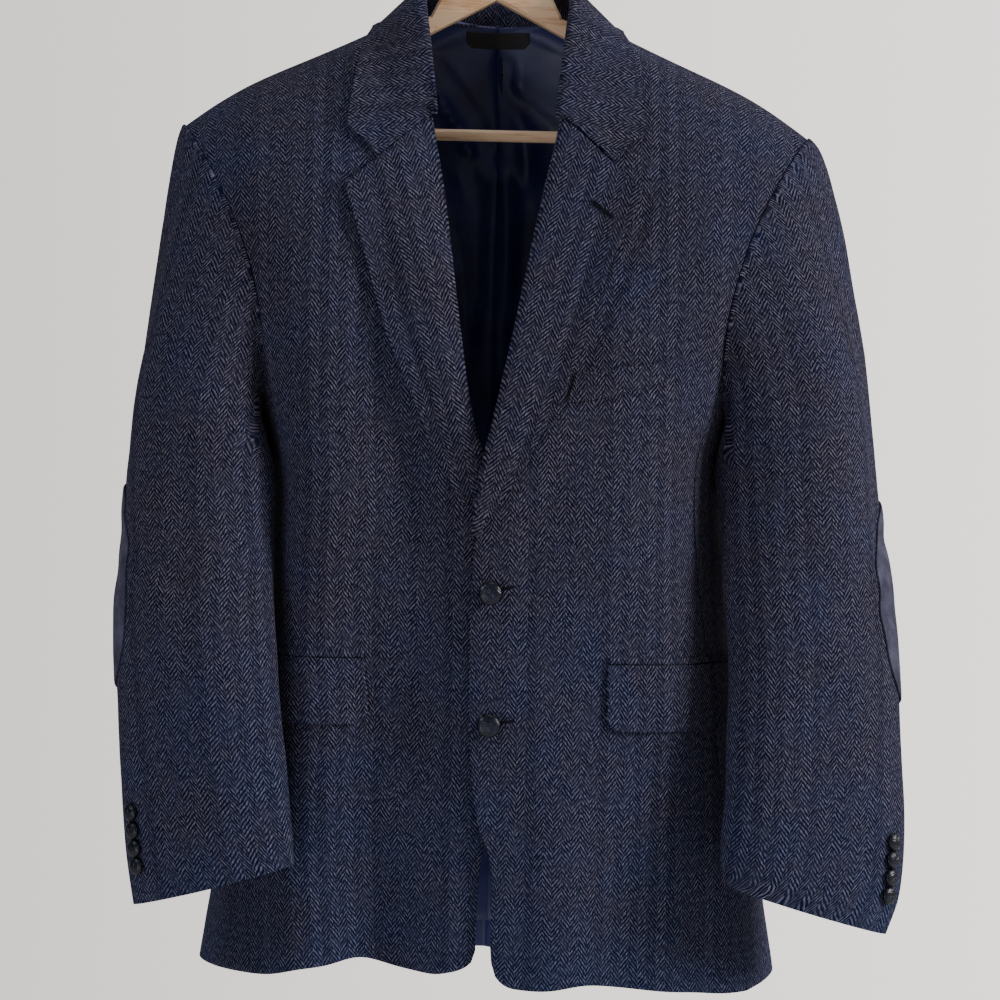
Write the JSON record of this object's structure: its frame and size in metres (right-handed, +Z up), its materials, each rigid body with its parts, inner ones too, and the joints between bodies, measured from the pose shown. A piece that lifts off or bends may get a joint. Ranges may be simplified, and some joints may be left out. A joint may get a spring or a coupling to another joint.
{
  "type": "men's tweed hacking jacket on a wooden hanger",
  "caption": "Single-breasted tweed jacket with notch lapels, flap pockets and elbow patches, hung on a wooden hanger by its wire hook; it dresses a wardrobe, shop rail or wall.",
  "frame": {"origin": "the inside top of the hanger's hook, where it bears on a rail", "axes": "+Z up; +X towards the wearer's left; the jacket's front faces -Y"},
  "size_m": [0.6127, 0.2267, 0.8803],
  "materials": {
    "tweed": "matt napped herringbone wool",
    "lining": "soft satin weave",
    "patch": "matt brushed suede-like cloth",
    "label": "plain woven tape, left bare",
    "button": "polished woven leather",
    "wood": "clear satin varnish",
    "hook": "plated wire"
  },
  "bodies": {
    "root": {"front_left": "tweed", "side_left": "tweed", "back_left": "tweed", "front_right": "tweed", "side_right": "tweed", "back_right": "tweed", "sleeve_top_left": "tweed", "sleeve_under_left": "tweed", "sleeve_top_right": "tweed", "sleeve_under_right": "tweed", "lapel_left": "tweed", "lapel_right": "tweed", "collar": "tweed", "flap_left": "tweed", "flap_right": "tweed", "breast_welt": "tweed", "elbow_patch_left": "patch", "elbow_patch_right": "patch", "front_button_1": "button", "front_button_2": "button", "cuff_button_left_1": "button", "cuff_button_left_2": "button", "cuff_button_left_3": "button", "cuff_button_left_4": "button", "cuff_button_right_1": "button", "cuff_button_right_2": "button", "cuff_button_right_3": "button", "cuff_button_right_4": "button", "back_lining_left": "lining", "back_lining_right": "lining", "neck_label": "label", "hanger_wood": "wood", "hanger_bar": "wood", "hanger_hook": "hook"}
  },
  "joints": []
}
